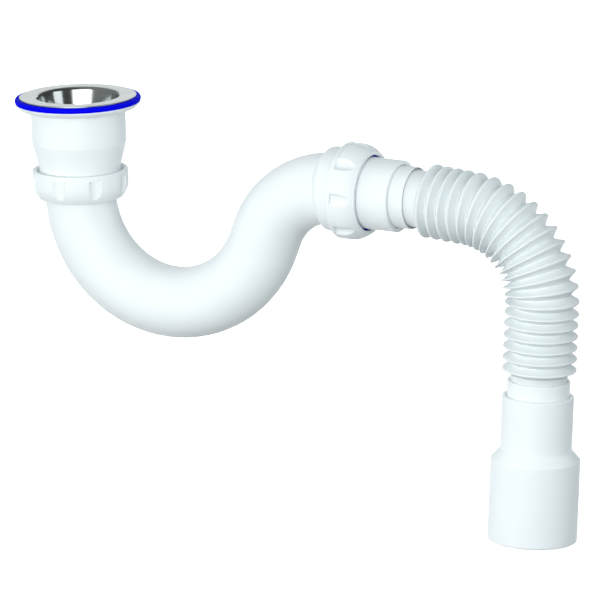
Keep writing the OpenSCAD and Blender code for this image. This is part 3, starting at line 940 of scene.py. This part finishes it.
def hose_seal(path):
    outline = [
        (0, HOSE_SEAL_BORE_R), (0, HOSE_SEAL_R - SOFT_EDGE), (SOFT_EDGE, HOSE_SEAL_R),
        (HOSE_SEAL_L - SOFT_EDGE, HOSE_SEAL_R), (HOSE_SEAL_L, HOSE_SEAL_R - SOFT_EDGE),
        (HOSE_SEAL_L, HOSE_SEAL_BORE_R),
    ]
    return swept(path, outline, SEAL_SEGMENTS)


recess_r = COLLAR_BORE_R + RECESS_T
recess_x = collar_l - RECESS_DEPTH
recessed_mouth = [(collar_l, recess_r), (recess_x, recess_r), (recess_x, COLLAR_BORE_R)]
plain_mouth = [(collar_l, COLLAR_BORE_R)]
upper_seal_x = COLLAR_START_X - HOSE_SEAL_L - HOSE_SEAL_GAP
lower_end, _ = hose_at(coupling_x + COLLAR_INSERT)
upper_collar_path = straight_path(outlet_start + COLLAR_START_X * heading(OUTLET_A), OUTLET_A)
lower_collar_path = straight_path(lower_end, end_a + 180)
upper_seal_path = straight_path(outlet_start + upper_seal_x * heading(OUTLET_A), OUTLET_A)
lower_seal_path = straight_path(lower_end + HOSE_SEAL_GAP * heading(end_a), end_a)
upper_collar = collar(upper_collar_path, recessed_mouth)
lower_collar = collar(lower_collar_path, plain_mouth)
skin("upper_collar", [upper_collar], "hose", white_plastic)
skin("lower_collar", [lower_collar], "hose_end", white_plastic)
skin("upper_hose_seal", [hose_seal(upper_seal_path)], "hose", rubber)
skin("lower_hose_seal", [hose_seal(lower_seal_path)], "hose_end", rubber)

# Corrugated hose: distances from a valley with heights above it, and from a crest with depths below it
VALLEY_SIDE = [(0.22, 0.16), (0.5, 0.65)]
CREST_SIDE = [(0.88, 1.02), (1.55, 2.35)]
INNER_VALLEY_SIDE = (0.45, 0.1)
INNER_CREST_SIDE = (0.35, 0.15)


def outer_fold(x):
    """Points over one fold: a tight valley, straight flanks and a rounded crest."""
    half = FOLD_PITCH / 2
    return (
        [(x - half, NECK_R)]
        + [(x - half + dx, NECK_R + dr) for dx, dr in VALLEY_SIDE]
        + [(x - dx, FOLD_R - dr) for dx, dr in reversed(CREST_SIDE)]
        + arc(x, FOLD_R - CREST_ROUND, CREST_ROUND, 90 + CREST_HALF_A, 90 - CREST_HALF_A)
        + [(x + dx, FOLD_R - dr) for dx, dr in CREST_SIDE]
        + [(x + half - dx, NECK_R + dr) for dx, dr in reversed(VALLEY_SIDE)]
    )


def inner_fold(x):
    """Points under one fold, on the way back. The wall is half as thick again at the crest."""
    half = FOLD_PITCH / 2
    crest = FOLD_R - 1.5 * HOSE_WALL
    valley = NECK_R - HOSE_WALL
    valley_x, valley_r = INNER_VALLEY_SIDE
    crest_x, crest_r = INNER_CREST_SIDE
    return [
        (x + half, valley), (x + half - valley_x, valley + valley_r), (x + crest_x, crest - crest_r),
        (x, crest), (x - crest_x, crest - crest_r), (x - half + valley_x, valley + valley_r),
    ]


folds = [FIRST_FOLD_X + i * FOLD_PITCH for i in range(FOLD_N)]
neck_bore_r = NECK_R - HOSE_WALL
hose_outline = [(HOSE_START_X, NECK_R - EDGE), (HOSE_START_X + EDGE, NECK_R)]
hose_outline += [(SAG_START_X, NECK_R), (sag_end_x, NECK_R)]
for x in folds:
    hose_outline += outer_fold(x)
hose_outline += [(last_fold_x + FOLD_PITCH / 2, NECK_R), (hose_end_x - EDGE, NECK_R)]
hose_outline += [(hose_end_x, NECK_R - EDGE), (hose_end_x, neck_bore_r)]
for x in reversed(folds):
    hose_outline += inner_fold(x)
hose_outline += [(sag_end_x, neck_bore_r), (SAG_START_X, neck_bore_r), (HOSE_START_X, neck_bore_r)]
hose_shape = swept(hose_at, hose_outline, HOSE_SEGMENTS)
hose = skin("corrugated_hose", [hose_shape], None, hose_plastic)
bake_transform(hose)

# End coupling: distances past the cone's ends, with heights above or depths below the spigot there
CONE_START = [(-0.3, 0), (0.3, 0.22)]
CONE_END = [(-0.4, 0.42), (0, 0.12), (0.5, 0)]
cone_x = COUPLING_UPPER_L
lower_x = cone_x + COUPLING_CONE_L
end_x = lower_x + COUPLING_LOWER_L
ledge_x = COLLAR_INSERT + HOSE_TAIL + LEDGE_GAP
upper_bore_r = COUPLING_UPPER_R - COUPLING_WALL
lower_bore_r = COUPLING_LOWER_R - COUPLING_WALL
coupling_outline = (
    [(0, SLEEVE_BORE_R)]
    + arc(COUPLING_ROUND, COUPLING_UPPER_R - COUPLING_ROUND, COUPLING_ROUND, 180, 90, 8)
    + [(cone_x + x, COUPLING_UPPER_R + rise) for x, rise in CONE_START]
    + [(lower_x + x, COUPLING_LOWER_R - depth) for x, depth in CONE_END]
    + arc(end_x - COUPLING_ROUND, COUPLING_LOWER_R - COUPLING_ROUND, COUPLING_ROUND, 90, 0, 8)
    + [(end_x, lower_bore_r), (lower_x + COUPLING_WALL / 2, lower_bore_r)]
    + [(cone_x + COUPLING_WALL / 2, upper_bore_r), (ledge_x + LEDGE_T, upper_bore_r)]
    + [(ledge_x + LEDGE_T, neck_bore_r), (ledge_x, neck_bore_r), (ledge_x, SLEEVE_BORE_R)]
)
coupling_path = straight_path(hose_at(coupling_x)[0], end_a)
coupling_shape = swept(coupling_path, held(coupling_outline), SEGMENTS)
skin("end_coupling", [coupling_shape], "coupling", white_plastic)

# Stage, in metres: the floor, cards that only reflections show, the world and lamps
MIDDLE = Vector((0.13, 0.0, -0.11))
FLOOR_SIZE = 24
FLOOR_Z = cad_box[0].z - 0.004
CARD_DISTANCE = 3.0
CARD_LOW = -1.0
CARD_HIGH = 2.6
CARD_STEPS = 24
LAMP_DISTANCE = 1.6
WORLD_COLOUR = (0.735, 0.79, 0.80)
ZENITH_COLOUR = (0.38, 0.41, 0.415)
DIMMING_Z = 0.3
BLACK = (0, 0, 0)
WHITE = (1.0, 1.0, 1.0)
COOL_WHITE = (0.95, 0.98, 1.0)


def stage_material(name, seen, bounced, glow):
    """A matt material with one colour and a glow for camera and reflections, and another for soft light."""
    material = bpy.data.materials.new(name)
    material.use_nodes = True
    tree = material.node_tree
    tree.nodes.clear()
    output = tree.nodes.new("ShaderNodeOutputMaterial")
    surfaces = []
    for colour in (bounced, seen):
        diffuse = tree.nodes.new("ShaderNodeBsdfDiffuse")
        diffuse.inputs["Color"].default_value = (*colour, 1)
        surfaces.append(diffuse.outputs[0])
    emission = tree.nodes.new("ShaderNodeEmission")
    emission.inputs["Strength"].default_value = glow
    both = tree.nodes.new("ShaderNodeAddShader")
    tree.links.new(surfaces[1], both.inputs[0])
    tree.links.new(emission.outputs[0], both.inputs[1])
    mix = tree.nodes.new("ShaderNodeMixShader")
    tree.links.new(background_rays(tree), mix.inputs["Fac"])
    tree.links.new(surfaces[0], mix.inputs[1])
    tree.links.new(both.outputs[0], mix.inputs[2])
    tree.links.new(mix.outputs[0], output.inputs["Surface"])
    return material


def background_rays(tree):
    """1 for camera, glossy and transmission rays, which see the background, else 0."""
    path = tree.nodes.new("ShaderNodeLightPath")
    result = path.outputs["Is Camera Ray"]
    for name in ("Is Glossy Ray", "Is Transmission Ray"):
        either = tree.nodes.new("ShaderNodeMath")
        either.operation = "MAXIMUM"
        tree.links.new(result, either.inputs[0])
        tree.links.new(path.outputs[name], either.inputs[1])
        result = either.outputs[0]
    return result


def stage_mesh(name, points, faces, material):
    mesh = bpy.data.meshes.new(name)
    mesh.from_pydata(points, [], faces)
    mesh.materials.append(material)
    piece = bpy.data.objects.new(name, mesh)
    bpy.context.scene.collection.objects.link(piece)
    return piece


def floor(name, material):
    half = FLOOR_SIZE / 2
    corners = [(-half, -half), (half, -half), (half, half), (-half, half)]
    stage_mesh(name, [(x, y, FLOOR_Z) for x, y in corners], [(0, 1, 2, 3)], material)


def reflected_card(name, points, faces, material):
    """A card that only reflections show."""
    piece = stage_mesh(name, points, faces, material)
    piece.visible_camera = False
    piece.visible_diffuse = False
    piece.visible_shadow = False
    piece.visible_transmission = False


def card_arc(yaw0, yaw1, z):
    """Points round the part at one height, between two yaws."""
    yaws = [yaw0 + (yaw1 - yaw0) * i / CARD_STEPS for i in range(CARD_STEPS + 1)]
    return [MIDDLE + Vector((CARD_DISTANCE * sin(yaw), -CARD_DISTANCE * cos(yaw), z)) for yaw in yaws]


def curved_card(name, yaw0, yaw1, material):
    """An upright card on an arc round the part."""
    points = card_arc(yaw0, yaw1, CARD_LOW) + card_arc(yaw0, yaw1, CARD_HIGH)
    above = CARD_STEPS + 1
    faces = [(i, i + 1, above + i + 1, above + i) for i in range(CARD_STEPS)]
    reflected_card(name, points, faces, material)


def overhead_card(name, yaw0, yaw1, material):
    """A level card above the part, a sector between two yaws."""
    points = [MIDDLE + Vector((0, 0, CARD_HIGH))] + card_arc(yaw0, yaw1, CARD_HIGH)
    reflected_card(name, points, [tuple(range(CARD_STEPS + 2))], material)


def world():
    """A sky that grows dimmer overhead, and plain white in the background."""
    scene_world = bpy.data.worlds.new("studio")
    bpy.context.scene.world = scene_world
    scene_world.use_nodes = True
    tree = scene_world.node_tree
    tree.nodes.clear()
    output = tree.nodes.new("ShaderNodeOutputWorld")
    background = tree.nodes.new("ShaderNodeBackground")
    direction = tree.nodes.new("ShaderNodeTexCoord")
    split = tree.nodes.new("ShaderNodeSeparateXYZ")
    tree.links.new(direction.outputs["Generated"], split.inputs[0])
    height = tree.nodes.new("ShaderNodeMapRange")
    height.inputs["From Min"].default_value = DIMMING_Z
    height.inputs["From Max"].default_value = 1.0
    tree.links.new(split.outputs["Z"], height.inputs["Value"])
    sky = colour_between(tree, height.outputs["Result"], WORLD_COLOUR, ZENITH_COLOUR)
    mix = tree.nodes.new("ShaderNodeMix")
    mix.data_type = "RGBA"
    mix.inputs["B"].default_value = (*WHITE, 1)
    tree.links.new(sky, mix.inputs["A"])
    tree.links.new(background_rays(tree), mix.inputs["Factor"])
    tree.links.new(mix.outputs["Result"], background.inputs["Color"])
    tree.links.new(background.outputs[0], output.inputs["Surface"])


def towards(yaw, elevation):
    """The direction from the part to a yaw, where 0 is the front, and an elevation."""
    return Vector((sin(yaw) * cos(elevation), -cos(yaw) * cos(elevation), sin(elevation)))


def area_lamp(name, yaw, elevation, size, watts, colour=WHITE, mirrored=False):
    """A lamp that looks at the middle of the part. Only a mirrored one shows in reflections."""
    lamp = bpy.data.lights.new(name, "AREA")
    lamp.shape = "RECTANGLE"
    lamp.size, lamp.size_y = size
    lamp.energy = watts
    lamp.color = colour
    lamp_object = bpy.data.objects.new(name, lamp)
    bpy.context.scene.collection.objects.link(lamp_object)
    away = towards(yaw, elevation)
    lamp_object.location = MIDDLE + away * LAMP_DISTANCE
    lamp_object.rotation_mode = "QUATERNION"
    lamp_object.rotation_quaternion = (-away).to_track_quat("-Z", "Y")
    lamp_object.visible_glossy = mirrored


studio_floor = stage_material("studio_floor", seen=(0.9, 0.9, 0.9), bounced=(0.22, 0.235, 0.24), glow=0.92)
floor("studio_floor", studio_floor)
dark_card = stage_material("dark_card", seen=BLACK, bounced=BLACK, glow=0.055)
grey_card = stage_material("grey_card", seen=BLACK, bounced=BLACK, glow=0.21)
curved_card("card_left", -130, -20, grey_card)
curved_card("card_right", 42, 176, dark_card)
overhead_card("card_above_left", -170, 10, grey_card)
overhead_card("card_above_right", 10, 190, dark_card)
world()
area_lamp("key_lamp", yaw=10, elevation=9, size=(1.4, 0.8), watts=17.6, mirrored=True)
area_lamp("left_lamp", yaw=-55, elevation=0, size=(0.8, 0.8), watts=7.4)
area_lamp("back_lamp", yaw=206, elevation=10, size=(0.8, 0.8), watts=8.2)
area_lamp("fill_lamp", yaw=87, elevation=15, size=(0.8, 0.8), watts=2.4, colour=COOL_WHITE, mirrored=True)

# Camera at the photograph's angle, far away with a long lens, as the photograph shows no perspective
YAW = 26.6
ELEVATION = 12.0
ROLL = -1.87
PIXELS_PER_MM = 1.78
IMAGE_SIDE = 600
ORIGIN_PIXEL = (77.7, 96.64)
CAMERA_DISTANCE = 14.0
SENSOR = 36.0
CLIP_START = 0.1
CLIP_END = 40


def camera():
    back = towards(YAW, ELEVATION)
    level = Vector((cos(YAW), sin(YAW), 0))
    raised = back.cross(level)
    right = cos(ROLL) * level + sin(ROLL) * raised
    up = -sin(ROLL) * level + cos(ROLL) * raised
    across_mm = (IMAGE_SIDE / 2 - ORIGIN_PIXEL[0]) / PIXELS_PER_MM
    down_mm = (IMAGE_SIDE / 2 - ORIGIN_PIXEL[1]) / PIXELS_PER_MM
    centre = (right * across_mm - up * down_mm) * MM
    data = bpy.data.cameras.new("camera")
    data.sensor_width = SENSOR
    data.lens = SENSOR * CAMERA_DISTANCE / (IMAGE_SIDE / PIXELS_PER_MM * MM)
    data.clip_start = CLIP_START
    data.clip_end = CLIP_END
    camera_object = bpy.data.objects.new("camera", data)
    bpy.context.scene.collection.objects.link(camera_object)
    turn = Matrix((right, up, back)).transposed().to_4x4()
    camera_object.matrix_world = Matrix.Translation(centre + back * CAMERA_DISTANCE) @ turn
    bpy.context.scene.camera = camera_object


camera()
bpy.context.scene.view_settings.view_transform = "Standard"
